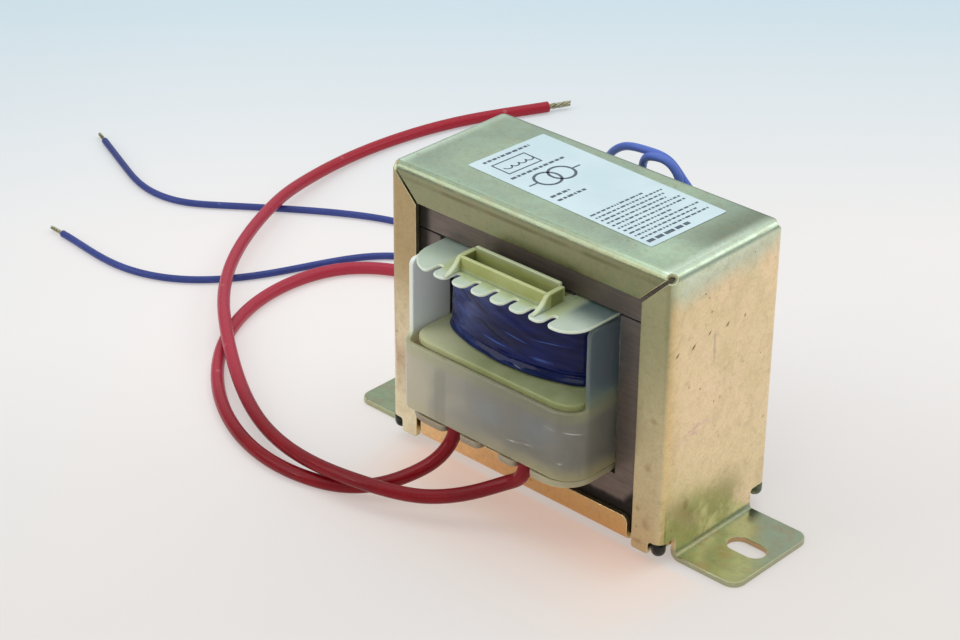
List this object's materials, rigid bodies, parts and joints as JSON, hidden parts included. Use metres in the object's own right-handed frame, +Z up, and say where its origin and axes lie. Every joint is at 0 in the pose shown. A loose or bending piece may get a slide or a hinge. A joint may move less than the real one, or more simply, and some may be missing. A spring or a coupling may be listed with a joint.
{
  "type": "small chassis-mount step-down transformer",
  "caption": "Small E-I core transformer in a folded steel channel frame with slotted ears, split bobbin, taped winding and red and blue flying leads.",
  "frame": {"origin": "centre of the footprint, on the plane under the mounting ears", "axes": "+Z up, +X along the line of the two mounting ears, -Y towards the front, where the red leads come out under the winding cover"},
  "size_m": [0.202, 0.1471, 0.0521],
  "materials": {
    "zinc_sheet": "yellow-green passivated zinc, satin",
    "dark_lug": "dark, varnished",
    "lamination": "varnished sheet edges, satin",
    "nylon": "translucent natural nylon",
    "cover_nylon": "translucent grey nylon, finely scratched",
    "pale_tape": "clear tape over wire",
    "navy_tape": "glossy wrinkled tape",
    "sticker": "satin white",
    "red_pvc": "semi-gloss",
    "blue_pvc": "semi-gloss",
    "tinned_strands": "tinned copper strands"
  },
  "bodies": {
    "root": {"frame_channel": "zinc_sheet", "base_plate": "zinc_sheet", "clinch_lug_front_left": "dark_lug", "clinch_lug_front_right": "dark_lug", "clinch_lug_back_left": "dark_lug", "clinch_lug_back_right": "dark_lug", "core_e_stack": "lamination", "core_i_stack": "lamination", "bobbin_tube": "nylon", "top_comb_flange": "nylon", "front_wire_trough": "nylon", "rear_wire_trough": "nylon", "mid_flange": "nylon", "bottom_comb_flange": "nylon", "lower_winding": "pale_tape", "upper_winding_tape": "navy_tape", "front_cover": "cover_nylon", "rear_cover": "cover_nylon", "label": "sticker", "lead_red_1": "red_pvc", "lead_red_2": "red_pvc", "lead_blue_1": "blue_pvc", "lead_blue_2": "blue_pvc", "stripped_end_red_1": "tinned_strands", "stripped_end_red_2": "tinned_strands", "stripped_end_blue_1": "tinned_strands", "stripped_end_blue_2": "tinned_strands"}
  },
  "joints": []
}
